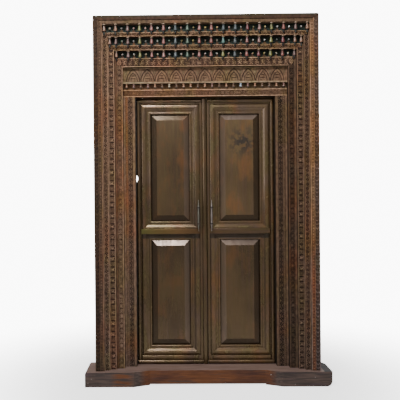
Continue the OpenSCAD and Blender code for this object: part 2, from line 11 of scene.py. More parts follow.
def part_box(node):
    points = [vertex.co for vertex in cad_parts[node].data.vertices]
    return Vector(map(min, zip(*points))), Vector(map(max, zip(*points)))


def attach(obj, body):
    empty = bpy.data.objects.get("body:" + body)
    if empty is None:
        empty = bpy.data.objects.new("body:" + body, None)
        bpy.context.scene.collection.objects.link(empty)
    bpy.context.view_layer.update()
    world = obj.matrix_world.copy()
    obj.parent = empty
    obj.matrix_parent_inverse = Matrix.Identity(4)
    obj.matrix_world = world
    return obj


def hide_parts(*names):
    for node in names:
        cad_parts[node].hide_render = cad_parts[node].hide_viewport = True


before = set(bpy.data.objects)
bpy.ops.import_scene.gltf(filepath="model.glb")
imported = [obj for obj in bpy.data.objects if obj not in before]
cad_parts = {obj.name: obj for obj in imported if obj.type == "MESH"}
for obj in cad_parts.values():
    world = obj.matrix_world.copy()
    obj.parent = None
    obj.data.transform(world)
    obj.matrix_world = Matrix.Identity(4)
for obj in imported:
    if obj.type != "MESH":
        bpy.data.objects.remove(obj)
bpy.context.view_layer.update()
chance = random.Random(11)
mm = 0.001
front = Vector((0, -1, 0))
up = Vector((0, 0, 1))
right = Vector((1, 0, 0))


# Short ways to lay out a material

def put(tree, kind, given=None, **props):
    made = tree.nodes.new("ShaderNode" + kind)
    for key, value in props.items():
        setattr(made, key, value)
    for key, value in (given or {}).items():
        if isinstance(value, bpy.types.NodeSocket):
            tree.links.new(value, made.inputs[key])
        else:
            made.inputs[key].default_value = value
    return made


def asColour(value):
    return value if isinstance(value, bpy.types.NodeSocket) else (*value, 1)


def blendColours(tree, share, first, second, kind="MIX"):
    given = {0: share, 6: asColour(first), 7: asColour(second)}
    return put(tree, "Mix", given, data_type="RGBA", blend_type=kind).outputs[2]


def tinted(tree, share, colour, tint):
    return blendColours(tree, share, colour, blendColours(tree, 1.0, colour, tint, "MULTIPLY"))


def spread(tree, value, low, high, toLow=0.0, toHigh=1.0):
    given = {"Value": value, "From Min": low, "From Max": high, "To Min": toLow, "To Max": toHigh}
    return put(tree, "MapRange", given).outputs["Result"]


def times(tree, first, second):
    return put(tree, "Math", {0: first, 1: second}, operation="MULTIPLY").outputs[0]


def takeFrom(tree, first, second):
    return put(tree, "Math", {0: first, 1: second}, operation="SUBTRACT").outputs[0]


def withoutSign(tree, value):
    return put(tree, "Math", {0: value}, operation="ABSOLUTE").outputs[0]


# Uneven pattern, with most of its values between 0.3 and 0.7
def noise(tree, where, scale, stretch=(1, 1, 1), detail=3.0, seat=(0, 0, 0)):
    placed = put(tree, "Mapping", {"Vector": where, "Scale": stretch, "Location": seat})
    given = {"Vector": placed.outputs[0], "Scale": scale, "Detail": detail, "Roughness": 0.55}
    return put(tree, "TexNoise", given).outputs["Fac"]


# Spreads a noise's usual range over two values
def vary(tree, pattern, low, high):
    return spread(tree, pattern, 0.3, 0.7, low, high)


def colourSteps(tree, value, steps):
    ramp = put(tree, "ValToRGB", {"Fac": value})
    stops = ramp.color_ramp.elements
    while len(stops) < len(steps):
        stops.new(0.5)
    for stop, (place, colour) in zip(stops, steps):
        stop.position = place
        stop.color = (*colour, 1)
    return ramp.outputs["Color"]


def startMaterial(name, roughness, metallic=0.0, specular=0.5):
    made = bpy.data.materials.new(name)
    made.use_nodes = True
    tree = made.node_tree
    shader = tree.nodes["Principled BSDF"]
    shader.inputs["Roughness"].default_value = roughness
    shader.inputs["Metallic"].default_value = metallic
    shader.inputs["Specular IOR Level"].default_value = specular
    where = put(tree, "TexCoord").outputs["Object"]
    axes = put(tree, "SeparateXYZ", {"Vector": where})
    return made, tree, shader, where, axes


def feed(tree, shader, colour, roughness=None):
    tree.links.new(colour, shader.inputs["Base Color"])
    if roughness:
        tree.links.new(roughness, shader.inputs["Roughness"])


def addBump(tree, shader, height, strength, distance):
    made = put(tree, "Bump", {"Height": height, "Strength": strength, "Distance": distance})
    tree.links.new(made.outputs["Normal"], shader.inputs["Normal"])


def dress(node, material):
    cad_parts[node].data.materials[0] = material


def shaded(colour, share):
    return tuple(part * share for part in colour)


def between(tree, value, low, high, soft=0.8 * mm):
    return times(tree, spread(tree, value, low - soft, low + soft),
                 spread(tree, value, high + soft, high - soft))


# Makes a colour lighter or darker by a plain value
def lit(tree, colour, value):
    grey = put(tree, "CombineColor", {"Red": value, "Green": value, "Blue": value}).outputs[0]
    return blendColours(tree, 1.0, colour, grey, "MULTIPLY")


# Old carved hardwood, crests rubbed pale. Hollows hold dirt and painted shade; step sides painted shade.
timberLook = {
    "crest": (0.330, 0.205, 0.138),
    "face": (0.150, 0.088, 0.056),
    "flank": (0.080, 0.044, 0.025),
    "hollow": (0.016, 0.008, 0.005),
    "side": (0.040, 0.024, 0.016),
    "back": (0.105, 0.062, 0.036),
    "warm": (1.55, 0.78, 0.40),
    "olive": (0.88, 0.98, 0.68),
    "ash": (0.60, 0.70, 0.92),
    "depth": 12 * mm,  # from the crests of the carving to the side colour, painted shade on step faces
    "backFrom": 132 * mm,
    "grain": 260,
    "figure": 34,
    "patches": 2.6,
    "tints": 6.5,
    "rubs": 60,
}


# Plain sawn face at the back, with the grain along the timber
def bareTimber(tree, where, along, seat):
    look = timberLook
    grain = noise(tree, where, look["grain"], along, 4.0, (seat, seat, seat))
    figure = noise(tree, where, look["figure"], along, 3.0, (seat, 4, seat))
    light = times(tree, vary(tree, grain, 0.75, 1.2), spread(tree, figure, 0.35, 0.65, 0.68, 1.25))
    return lit(tree, look["back"], light)


def isBehind(tree, axes):
    return spread(tree, axes.outputs["Y"], timberLook["backFrom"], timberLook["backFrom"] + 4 * mm)


# A strip is tinted between two distances from the timber's outer edge
def makeTimber(name, faceY, edge, along, seat, warmth=0.3, ash=0.6, tone=1.0, hollow=1.0,
               flank=1.0, strips=()):
    look = timberLook
    bottom = shaded(look["hollow"], hollow)
    made, tree, shader, where, axes = startMaterial(name, 0.8, specular=0.15)
    grain = noise(tree, where, look["grain"], along, 4.0, (seat, seat, seat))
    patches = noise(tree, where, look["patches"], (1, 1, 0.8), 3.0, (seat, 2 * seat, seat))
    tints = noise(tree, where, look["tints"], (1, 1, 0.6), 2.0, (3 + seat, seat, 5))
    wearAndSheen = noise(tree, where, look["rubs"], (1, 1, 0.6), 2.0, (seat, 9, seat))
    crestY = faceY - 1.5 * mm
    sunk = spread(tree, axes.outputs["Y"], crestY, crestY + look["depth"])
    # Depth ramp: painted shade in the hollows, partly also dirt, and painted shade on the steps' side faces
    colour = colourSteps(tree, sunk, [
        (0.0, shaded(look["crest"], tone)), (0.15, shaded(look["face"], tone)),
        (0.36, shaded(look["flank"], tone * flank)), (0.50, bottom), (0.62, bottom),
        (0.85, look["side"])])
    warmShare = times(tree, spread(tree, patches, 0.50, 0.66), warmth)
    colour = tinted(tree, warmShare, colour, look["warm"])
    colour = tinted(tree, spread(tree, tints, 0.46, 0.62, 0.08, 0.75), colour, look["olive"])
    ashShare = times(tree, spread(tree, axes.outputs["Z"], 1.7, 0.1), ash)
    colour = tinted(tree, ashShare, colour, look["ash"])
    side, reach = edge
    inward = takeFrom(tree, reach, withoutSign(tree, axes.outputs[side]))
    for strip in strips:
        share = times(tree, between(tree, inward, strip["near"], strip["far"]), strip["share"])
        if strip["low"]:
            share = times(tree, share, spread(tree, axes.outputs["Z"], strip["low"], strip["high"]))
        colour = tinted(tree, share, colour, strip["tint"])
    colour = lit(tree, colour, times(tree, vary(tree, grain, 0.75, 1.2), vary(tree, wearAndSheen, 0.6, 1.3)))
    colour = blendColours(tree, isBehind(tree, axes), colour, bareTimber(tree, where, along, seat))
    feed(tree, shader, colour, vary(tree, grain, 0.68, 0.9))
    addBump(tree, shader, grain, 0.35, 0.6 * mm)
    return made


# Motifs of the carving. Each is drawn round its own middle: x across the band towards
# the frame's outer side, y out of the wood, z along the band. A bay's side is 1 or -1 by turns.
relief = {"proud": 6.0 * mm, "sunk": 1.0 * mm, "steps": 7}


def addPetal(bm, x, z, turn, length, wide, high):
    made = bmesh.ops.create_uvsphere(bm, u_segments=6, v_segments=4, radius=1)
    size = Matrix.Diagonal((wide / 2, high, length / 2, 1))
    place = Matrix.Translation((x, 0, z)) @ Matrix.Rotation(turn, 4, "Y")
    bmesh.ops.transform(bm, matrix=place @ size, verts=made["verts"])


def addRidge(bm, x, z, radius, begin, sweep, wide, high, steps):
    foot, crown = wide / 2, wide / 5
    outline = ((-foot, -relief["sunk"]), (-crown, high), (crown, high), (foot, -relief["sunk"]))
    corners = [bm.verts.new((radius + across, out, 0)) for across, out in outline]
    face = bm.faces.new(corners)
    bmesh.ops.rotate(bm, cent=(0, 0, 0), matrix=Matrix.Rotation(-begin, 3, "Y"), verts=corners)
    geom = corners + list(face.edges)
    closed = abs(sweep) > 6.2
    if closed:
        bmesh.ops.delete(bm, geom=[face], context="FACES_ONLY")
    else:
        geom.append(face)
    start = len(bm.verts) - 4
    bmesh.ops.spin(bm, geom=geom, cent=(0, 0, 0), axis=(0, -1, 0), dvec=(0, 0, 0), angle=sweep,
                   steps=steps, use_merge=closed, use_normal_flip=False, use_duplicate=False)
    bm.verts.ensure_lookup_table()
    bmesh.ops.translate(bm, vec=(x, 0, z), verts=bm.verts[start:])


def addBoss(bm, x, z, radius, high):
    made = bmesh.ops.create_uvsphere(bm, u_segments=8, v_segments=4, radius=1)
    place = Matrix.Translation((x, 0, z)) @ Matrix.Rotation(math.pi / 2, 4, "X")
    bmesh.ops.transform(bm, matrix=place @ Matrix.Diagonal((radius, radius, high, 1)),
                        verts=made["verts"])


def asMesh(bm, name):
    bmesh.ops.remove_doubles(bm, verts=bm.verts, dist=0.001 * mm)
    bmesh.ops.recalc_face_normals(bm, faces=bm.faces)
    mesh = bpy.data.meshes.new(name)
    bm.to_mesh(mesh)
    bm.free()
    return mesh


def addFlower(bm, x, radius, petals, high):
    for n in range(petals):
        turn = math.tau * n / petals
        addPetal(bm, x + math.sin(turn) * radius * 0.62, math.cos(turn) * radius * 0.62, turn,
                 radius * 0.78, radius * 0.42, high)
    addBoss(bm, x, 0, radius * 0.24, high * 1.1)


# One bay of a running vine: a stem that waves, a flower in the bend and leaves behind it
def vineBay(bm, wide, pitch, side):
    high = relief["proud"]
    swing = 0.27 * wide
    radius = (pitch ** 2 / 4 + swing ** 2) / (2 * swing)
    reach = math.asin(pitch / 2 / radius)
    addRidge(bm, swing - radius, 0, radius, -reach, 2 * reach, 0.1 * wide, high * 0.8, relief["steps"])
    addFlower(bm, -0.14 * wide, 0.25 * wide, 6, high)
    addRidge(bm, -0.10 * wide, 0, 0.33 * wide, math.pi * 0.55, math.pi * 0.9, 0.07 * wide,
             high * 0.7, 6)
    for way in (-1, 1):
        addPetal(bm, 0.36 * wide, way * 0.24 * pitch, way * 0.5, 0.34 * pitch, 0.15 * wide, high * 0.9)
        addPetal(bm, -0.34 * wide, way * 0.36 * pitch, way * -0.7, 0.30 * pitch, 0.15 * wide,
                 high * 0.85)
    if side < 0:
        bmesh.ops.scale(bm, vec=(-1, 1, 1), verts=bm.verts)


# A ring with a flower in it, and a leaf in each corner outside the ring
def ringBay(bm, wide, pitch, side):
    high = relief["proud"]
    radius = 0.40 * min(wide, pitch)
    addRidge(bm, 0, 0, radius, 0, math.tau, 0.09 * wide, high * 0.8, 14)
    addFlower(bm, 0, radius * 0.80, 8 if side > 0 else 5, high)
    for turn in (0.25, 0.75, 1.25, 1.75):
        angle = turn * math.pi
        addPetal(bm, math.sin(angle) * radius * 1.42, math.cos(angle) * radius * 1.42, -angle,
                 radius * 0.8, radius * 0.34, high * 0.85)


# Leaves in pairs that climb a middle rib
def leafBay(bm, wide, pitch, side):
    high = relief["proud"]
    for way in (-1, 1):
        addPetal(bm, way * 0.20 * wide, -0.02 * pitch, way * 0.75, 0.62 * pitch, 0.17 * wide, high)
        addPetal(bm, way * 0.37 * wide, 0.22 * pitch, way * 0.35, 0.55 * pitch, 0.14 * wide,
                 high * 0.85)
    addPetal(bm, 0, 0.2 * pitch * side, 0, 0.55 * pitch, 0.13 * wide, high * 0.9)


# Two hooked scrolls back to back, with a bud where they part
def scrollBay(bm, wide, pitch, side):
    high = relief["proud"]
    for way in (-1, 1):
        addRidge(bm, 0.16 * wide * side, way * 0.25 * pitch, 0.20 * pitch, -way * 1.2 * math.pi,
                 way * 1.45 * math.pi, 0.09 * wide, high * 0.9, 8)
        addRidge(bm, 0.16 * wide * side, way * 0.22 * pitch, 0.09 * pitch, 0, way * 1.3 * math.pi,
                 0.07 * wide, high * 0.8, 5)
        addPetal(bm, -0.30 * wide * side, way * 0.22 * pitch, -way * side * 0.9, 0.40 * pitch,
                 0.15 * wide, high)
        addPetal(bm, 0.42 * wide * side, way * 0.05 * pitch, way * side * 0.6, 0.22 * pitch,
                 0.10 * wide, high * 0.8)
    addPetal(bm, -0.12 * wide * side, 0, math.pi / 2, 0.42 * wide, 0.16 * pitch, high)
    addBoss(bm, 0.16 * wide * side, 0, 0.07 * wide, high)


# Scrolls and rings by turns
def mixedBay(bm, wide, pitch, side):
    bay = scrollBay if side > 0 else ringBay
    bay(bm, wide, pitch, side)


# A slanting strand of a twisted rope
def ropeBay(bm, wide, pitch, side):
    addPetal(bm, 0, 0, 0.75, math.hypot(wide, pitch) * 1.05, pitch * 0.72, relief["proud"] * 0.8)


# A bead between two small discs
def beadBay(bm, wide, pitch, side):
    addBoss(bm, 0, 0, min(wide, pitch) * 0.42, relief["proud"] * 0.95)
    for way in (-1, 1):
        addPetal(bm, way * wide * 0.40, pitch / 2, 0, pitch * 0.5, wide * 0.16, relief["proud"] * 0.6)


# Half of a pointed arch and its mirror: two arcs that rise from the feet and meet at the crown
def addArch(bm, foot, crown, half, wide, high, steps):
    rise = crown - foot
    away = (rise ** 2 - half ** 2) / (2 * half)
    radius = away + half
    tip = math.atan2(away, rise)
    for way in (-1, 1):
        begin = -math.pi / 2 if way < 0 else tip
        addRidge(bm, foot, -way * away, radius, begin, math.pi / 2 - tip, wide, high, steps)


def addHangingLeaf(bm, z, wide, pitch):
    for turn, long in ((0, 0.58), (-0.28, 0.46), (0.28, 0.46)):
        addPetal(bm, 0.44 * wide - long * wide / 2, z + math.sin(turn) * long * wide / 2,
                 math.pi / 2 - turn, long * wide, 0.075 * pitch, relief["proud"] * 0.9)


# A pointed arch with a smaller one in it, and cross bars
def archBay(bm, wide, pitch, side):
    high = relief["proud"]
    foot = -0.47 * wide
    addArch(bm, foot, 0.46 * wide, 0.47 * pitch, 0.075 * wide, high * 0.85, 7)
    addArch(bm, foot, 0.20 * wide, 0.30 * pitch, 0.055 * wide, high * 0.8, 6)
    for level, reach in ((-0.24, 0.22), (-0.04, 0.15)):
        addPetal(bm, level * wide, 0, 0, 2 * reach * pitch, 0.055 * wide, high * 0.8)


# Buds in and over the arch, and the leaf that hangs between two arches
def archLeafBay(bm, wide, pitch, side):
    high = relief["proud"]
    addPetal(bm, 0.30 * wide, 0, math.pi / 2, 0.16 * wide, 0.10 * pitch, high)
    for way in (-1, 1):
        addPetal(bm, -0.38 * wide, way * 0.14 * pitch, math.pi / 2 - way * 0.7, 0.16 * wide, 0.07 * pitch,
                 high * 0.9)
        addPetal(bm, 0.42 * wide, way * 0.20 * pitch, way * 0.9, 0.20 * pitch, 0.06 * wide, high * 0.8)
    addHangingLeaf(bm, 0.5 * pitch, wide, pitch)


def addCopy(bm, mesh, matrix):
    start = len(bm.verts)
    bm.from_mesh(mesh)
    bm.verts.ensure_lookup_table()
    bmesh.ops.transform(bm, matrix=matrix, verts=bm.verts[start:])
    return bm.verts[start:]


def bandMatrix(place, across, along):
    turned = Matrix((across, front, along)).transposed().to_4x4()
    return Matrix.Translation(place) @ turned


def bayShape(bay, wide, pitch, side):
    bm = bmesh.new()
    bay(bm, wide, pitch, side)
    return asMesh(bm, "bay")


# Fills the straight run from begin to end with whole bays
def fillRun(bm, bay, begin, end, across, wide, pitch, rise=1.0):
    run = end - begin
    count = max(1, round(run.length / pitch))
    step = run / count
    along = step.normalized()
    shapes = [bayShape(bay, wide, step.length, side) for side in (1, -1)]
    for n in range(count):
        place = begin + step * (n + 0.5)
        wobble = Matrix.Rotation(chance.uniform(-0.03, 0.03), 4, "Y")
        size = Matrix.Diagonal((chance.uniform(0.95, 1.0), rise * chance.uniform(0.86, 1.0),
                                chance.uniform(0.95, 1.0), 1))
        addCopy(bm, shapes[n % 2], bandMatrix(place, across, along) @ wobble @ size)
    for shape in shapes:
        bpy.data.meshes.remove(shape)


def finishPiece(bm, name, body, material):
    bmesh.ops.recalc_face_normals(bm, faces=bm.faces)
    mesh = bpy.data.meshes.new(name)
    bm.to_mesh(mesh)
    bm.free()
    for face in mesh.polygons:
        face.use_smooth = True
    mesh.set_sharp_from_angle(angle=math.radians(30))
    mesh.materials.append(material)
    piece = bpy.data.objects.new(name, mesh)
    bpy.context.scene.collection.objects.link(piece)
    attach(piece, body)
    return piece


# Timber of the five frames and the boards of the lintel

uprightAlong = (1, 1, 0.08)
levelAlong = (0.08, 1, 1)
frameNames = ["outer", "second", "third", "fourth", "inner"]
headNames = ["outer_top_rail", "second_head", "third_head", "fourth_head", "inner_head"]
orangeTint = (1.12, 0.76, 0.47)
dullTint = (0.60, 0.58, 0.56)
russetTint = (1.45, 0.80, 0.52)
tanTint = (1.40, 1.32, 1.20)


# Tints a timber between two distances in millimetres from its outer edge. Where low and high
# are given, the tint fades between those heights in metres.
def stripe(near, far, tint, share=1.0, low=None, high=None):
    return {"near": near * mm, "far": far * mm, "tint": tint, "share": share, "low": low, "high": high}


frameTimber = {
    "outer": {
        "left": {"warmth": 0.35, "ash": 0.9, "seat": 1.0, "tone": 0.63, "hollow": 1.0,
                 "strips": [stripe(60, 69, tanTint, 0.7)]},
        "right": {"ash": 0.9, "seat": 6.0,
                  "strips": [stripe(35, 69, tanTint, 0.8, 0.9, 1.3),
                             stripe(38, 62, russetTint, 0.7, 1.2, 0.8),
                             stripe(-2, 34, (1.35, 1.50, 1.85), 0.9)]},
        "head": {"warmth": 0.4, "ash": 0.0, "seat": 1.5, "tone": 0.23,
                 "strips": [stripe(-2, 17, (0.85, 0.95, 0.85), 0.9), stripe(19, 35, (1.0, 0.78, 0.70), 0.9),
                            stripe(40, 70, (3.7, 3.8, 3.7), 0.9)]},
    },
    "second": {
        "left": {"ash": 0.8, "seat": 2.0, "tone": 2.3, "hollow": 1.3,
                 "strips": [stripe(34, 44, dullTint)]},
        "right": {"ash": 0.6, "seat": 7.0, "tone": 1.42, "hollow": 1.2,
                  "strips": [stripe(34, 44, dullTint)]},
        "head": {"ash": 0.0, "seat": 2.5, "tone": 1.45, "hollow": 2.6},
    },
    "third": {
        "left": {"ash": 0.7, "seat": 3.0, "tone": 2.1, "hollow": 1.6,
                 "strips": [stripe(40, 52, dullTint)]},
        "right": {"ash": 0.6, "seat": 8.0, "tone": 1.35, "hollow": 1.3,
                  "strips": [stripe(40, 52, dullTint)]},
        "head": {"ash": 0.0, "seat": 3.5, "tone": 1.5, "hollow": 2.4},
    },
    "fourth": {
        "left": {"warmth": 0.5, "ash": 0.5, "seat": 4.0, "tone": 2.2, "hollow": 1.0,
                 "strips": [stripe(-2, 17, (0.13, 0.085, 0.065), 0.9), stripe(55, 66, dullTint)]},
        "right": {"warmth": 0.5, "ash": 0.5, "seat": 9.0, "tone": 0.76, "hollow": 0.5,
                  "strips": [stripe(-2, 17, (0.50, 0.48, 0.45), 0.9), stripe(55, 66, dullTint)]},
        "head": {"ash": 0.0, "seat": 4.5, "tone": 1.45, "hollow": 2.4},
    },
    "inner": {
        "left": {"warmth": 0.5, "ash": 0.8, "seat": 5.0, "tone": 1.72, "hollow": 1.7,
                 "strips": [stripe(17, 33, orangeTint, 0.8, 0.8, 1.8), stripe(-2, 14, dullTint),
                            stripe(70, 95, (0.42, 0.40, 0.38))]},
        "right": {"warmth": 0.4, "ash": 0.5, "seat": 10.0, "tone": 1.02, "hollow": 0.6,
                  "strips": [stripe(-2, 14, dullTint), stripe(70, 95, (0.50, 0.48, 0.46))]},
        "head": {"warmth": 0.25, "ash": 0.0, "seat": 5.5, "tone": 1.6, "hollow": 3.6,
                 "strips": [stripe(-2, 42, (2.6, 2.6, 2.5))]},
    },
}
jambTimber = {}
headTimber = {}
for name, headNode in zip(frameNames, headNames):
    low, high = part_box(name + "_jamb_left")
    for sideName in ("left", "right"):
        made = makeTimber(name + "JambTimber" + sideName.title(), low.y, ("X", -low.x), uprightAlong,
                          **frameTimber[name][sideName])
        jambTimber[name + sideName] = made
        dress(name + "_jamb_" + sideName, made)
    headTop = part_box(headNode)[1].z if name in ("outer", "inner") else high.z
    headTimber[name] = makeTimber(name + "HeadTimber", low.y, ("Z", headTop), levelAlong,
                                  **frameTimber[name]["head"])
    dress(headNode, headTimber[name])
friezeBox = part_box("frieze")
friezeEdge = ("Z", friezeBox[1].z)
friezeTimber = makeTimber("friezeTimber", friezeBox[0].y, friezeEdge, levelAlong, 11.0, warmth=0.12,
                          ash=0.0, tone=1.05, hollow=7.6, flank=0.55,
                          strips=[stripe(-2, 200, (1.0, 1.18, 1.15))])
# The arch lines are made dark: painted shade of the grooves between the arch panels
friezeGrooveShade = makeTimber("friezeGrooveShade", friezeBox[0].y, friezeEdge, levelAlong, 11.0, warmth=0.1,
                         ash=0.0, tone=0.22)
dress("frieze", friezeTimber)
print("frame timber done")


# A carved band, in millimetres. Near is the distance from the frame's outer edge.
def carvedBand(near, wide, pitch, bay, sink=5, rise=1.0):
    return {"near": near * mm, "wide": wide * mm, "pitch": pitch * mm, "bay": bay,
            "sink": sink * mm, "rise": rise}


jambBands = {
    "outer": [carvedBand(6, 30, 30, leafBay), carvedBand(40, 21, 22, beadBay)],
    "second": [carvedBand(4, 30, 34, vineBay)],
    "third": [carvedBand(4, 36, 41, mixedBay)],
    "fourth": [carvedBand(17, 38, 38, ringBay)],
    "inner": [carvedBand(16, 15, 14, ropeBay), carvedBand(34, 36, 40, vineBay),
              carvedBand(72, 17, 20, leafBay, sink=1.5, rise=0.45)],
}
headBands = {
    "second": carvedBand(5, 21, 30, scrollBay),
    "third": carvedBand(5, 27, 32, vineBay),
    "fourth": carvedBand(6, 55, 44, scrollBay),
    "inner": carvedBand(51, 40, 34, ringBay),
}


def carveJamb(name, sideName, side):
    low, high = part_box(name + "_jamb_" + sideName)
    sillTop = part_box("sill")[1].z
    outerX = side * max(abs(low.x), abs(high.x))
    bm = bmesh.new()
    for band in jambBands[name]:
        near, wide = band["near"], band["wide"]
        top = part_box("inner_head")[0].z if name == "inner" else high.z - near - wide
        begin = Vector((outerX - side * (near + wide / 2), low.y + band["sink"], sillTop + 4 * mm))
        end = Vector((begin.x, begin.y, top))
        fillRun(bm, band["bay"], begin, end, right * side, wide, band["pitch"], band["rise"])
    finishPiece(bm, name + "_jamb_carving_" + sideName, "frame", jambTimber[name + sideName])


# The head's band, with a flower in each mitred corner
def carveHead(name, headNode):
    band = headBands[name]
    sideBand = jambBands[name][-1]
    low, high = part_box(headNode)
    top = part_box(name + "_jamb_left")[1].z if name != "inner" else high.z
    y = low.y + band["sink"]
    z = top - band["near"] - band["wide"] / 2
    inset = 0 if name == "inner" else sideBand["near"] + sideBand["wide"]
    begin = Vector((low.x + inset, y, z))
    end = Vector((high.x - inset, y, z))
    bm = bmesh.new()
    fillRun(bm, band["bay"], begin, end, up, band["wide"], band["pitch"])
    if name != "inner":
        flower = bmesh.new()
        addFlower(flower, 0, 0.5, 8, relief["proud"])
        shape = asMesh(flower, "cornerFlower")
        cornerX = high.x - sideBand["near"] - sideBand["wide"] / 2
        size = Matrix.Diagonal((band["wide"], 1, sideBand["wide"], 1))
        for side in (-1, 1):
            place = Vector((side * cornerX, y, z))
            addCopy(bm, shape, bandMatrix(place, up, right) @ size)
        bpy.data.meshes.remove(shape)
    finishPiece(bm, headNode + "_carving", "frame", headTimber[name])


for name in frameNames:
    carveJamb(name, "left", -1)
    carveJamb(name, "right", 1)
for name, headNode in zip(frameNames[1:], headNames[1:]):
    carveHead(name, headNode)
print("carved bands done")

# Frieze of pointed arches between two fillets
friezeLook = {"upper": 6 * mm, "lower": 12 * mm, "sink": 5 * mm, "pitch": 111 * mm, "arches": 11}


def carveFrieze(look):
    low, high = friezeBox
    wide = high.z - low.z - look["upper"] - look["lower"]
    z = low.z + look["lower"] + wide / 2
    y = low.y + look["sink"]
    pitch = look["pitch"]
    reach = look["arches"] / 2 * pitch
    begin, end = Vector((-reach, y, z)), Vector((reach, y, z))
    bm = bmesh.new()
    fillRun(bm, archBay, begin, end, up, wide, pitch)
    finishPiece(bm, "frieze_arches", "frame", friezeGrooveShade)
    bm = bmesh.new()
    fillRun(bm, archLeafBay, begin, end, up, wide, pitch)
    spare = bmesh.new()
    addHangingLeaf(spare, 0, wide, pitch)
    shape = asMesh(spare, "endLeaf")
    addCopy(bm, shape, bandMatrix(begin, up, right))
    bpy.data.meshes.remove(shape)
    finishPiece(bm, "frieze_leaves", "frame", friezeTimber)


carveFrieze(friezeLook)
print("frieze done")

# Old paints of the drops, knobs and pendants
paints = {
    "tan": (0.30, 0.150, 0.085), "mauve": (0.18, 0.095, 0.080), "lime": (0.24, 0.23, 0.060),
    "rose": (0.31, 0.112, 0.092), "slate": (0.075, 0.095, 0.10), "mint": (0.10, 0.155, 0.105),
    "red": (0.28, 0.080, 0.058), "teal": (0.08, 0.20, 0.17), "crimson": (0.22, 0.045, 0.045),
    "pink": (0.31, 0.150, 0.125), "wood": (0.055, 0.028, 0.016), "stem": (0.026, 0.021, 0.011),
    "cap": (0.34, 0.225, 0.140), "cream": (0.36, 0.290, 0.200), "white": (0.52, 0.50, 0.47),
    "yellow": (0.27, 0.200, 0.060), "grey": (0.16, 0.150, 0.140), "umber": (0.12, 0.068, 0.042),
    "frost": (0.32, 0.38, 0.44), "night": (0.020, 0.028, 0.020), "weathered": (0.30, 0.36, 0.30),
}
# The outline is radius and depth in millimetres: cap, neck, bell, waist and tip
dropLook = {
    "radius": 15 * mm, "capDepth": 8.5 * mm, "neckDepth": 11 * mm, "bellDepth": 55 * mm,
    "full": 85 * mm, "tipFrom": 66 * mm, "weatheredFrom": 660 * mm,
    "outline": [(0, 0), (13.8, 0), (14.6, 2), (14.6, 6), (13.6, 8), (7.4, 9.5), (7.0, 12),
                (8.8, 15), (11.0, 24), (12.9, 34), (14.5, 45), (14.8, 50), (13.8, 54), (7.6, 56),
                (5.9, 57), (5.7, 66), (7.2, 68), (7.0, 74), (4.5, 80), (0, 85)],
    "upper": ["tan", "tan", "mauve", "lime", "rose", "rose", "slate", "mint", "rose", "red",
              "slate", "slate", "crimson", "pink", "lime", "red", "mauve", "tan"],
    "middle": ["tan", "mauve", "mauve", "lime", "rose", "rose", "slate", "mint", "red", "red",
               "teal", "slate", "rose", "pink", "lime", "crimson", "tan", "tan"],
    "lower": ["tan", "mauve", "lime", "rose", "pink", "slate", "mint", "rose", "rose",
              "lime", "slate", "red", "crimson", "lime", "red", "mauve"],
}


def coloursByPlace(tree, value, edges, names):
    low, high = edges[0], edges[-1]
    ramp = put(tree, "ValToRGB", {"Fac": spread(tree, value, low, high)})
    ramp.color_ramp.interpolation = "CONSTANT"
    stops = ramp.color_ramp.elements
    while len(stops) < len(names):
        stops.new(1.0)
    for stop, edge, name in zip(stops, edges, names):
        stop.position = (edge - low) / (high - low)
        stop.color = (*paints[name], 1)
    return ramp.outputs["Color"]


def makePaint(name):
    made, tree, shader, where, axes = startMaterial(name, 0.42, specular=0.45)
    worn = noise(tree, where, 150, (1, 1, 0.5), 4.0, (1, 2, 3))
    soft = noise(tree, where, 55, (1, 1, 1), 2.0, (7, 2, 3))
    addBump(tree, shader, worn, 0.3, 0.5 * mm)
    tree.links.new(vary(tree, worn, 0.3, 0.6), shader.inputs["Roughness"])
    return made, tree, shader, where, axes, worn, soft


# Bare wood where the paint is worn off
def baredPaint(tree, worn, colour, low=0.52, share=0.6):
    bare = times(tree, spread(tree, worn, low, 0.66), share)
    return blendColours(tree, bare, colour, paints["wood"])


def makeDropPaint(row, columnPitch):
    node = row + "_row_drops"
    low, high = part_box(node)
    names = dropLook[row]
    ends = 0 if row == "lower" else 1
    inner = len(names) - 2 * ends
    edges = [(n - inner / 2) * columnPitch for n in range(inner + 1)]
    if ends:
        edges = [low.x] + edges + [high.x]
    made, tree, shader, where, axes, worn, soft = makePaint(row + "DropPaint")
    paint = coloursByPlace(tree, axes.outputs["X"], edges, names)
    depth = takeFrom(tree, high.z, axes.outputs["Z"])
    bell = between(tree, depth, dropLook["neckDepth"], dropLook["bellDepth"])
    cap = spread(tree, depth, dropLook["capDepth"] + 0.5 * mm, dropLook["capDepth"] - 0.5 * mm)
    outside = dropLook["weatheredFrom"]
    farOut = spread(tree, withoutSign(tree, axes.outputs["X"]), outside, outside + 10 * mm)
    tip = spread(tree, depth, dropLook["tipFrom"], dropLook["tipFrom"] + 6 * mm)
    stem = blendColours(tree, times(tree, tip, times(tree, farOut, 0.55)), paints["stem"],
                        paints["weathered"])
    axisY = (low.y + high.y) / 2
    radius = dropLook["radius"]
    # Painted shade: each drop darkens from its front towards its sides
    turned = spread(tree, axes.outputs["Y"], axisY - 0.90 * radius, axisY - 0.30 * radius, 1.0, 0.12)
    colour = blendColours(tree, bell, stem, paint)
    colour = blendColours(tree, cap, colour, paints["cap"])
    colour = baredPaint(tree, worn, colour, 0.55, 0.75)
    colour = lit(tree, colour, times(tree, vary(tree, soft, 0.38, 0.76), turned))
    feed(tree, shader, colour)
    dress(node, made)
    return made


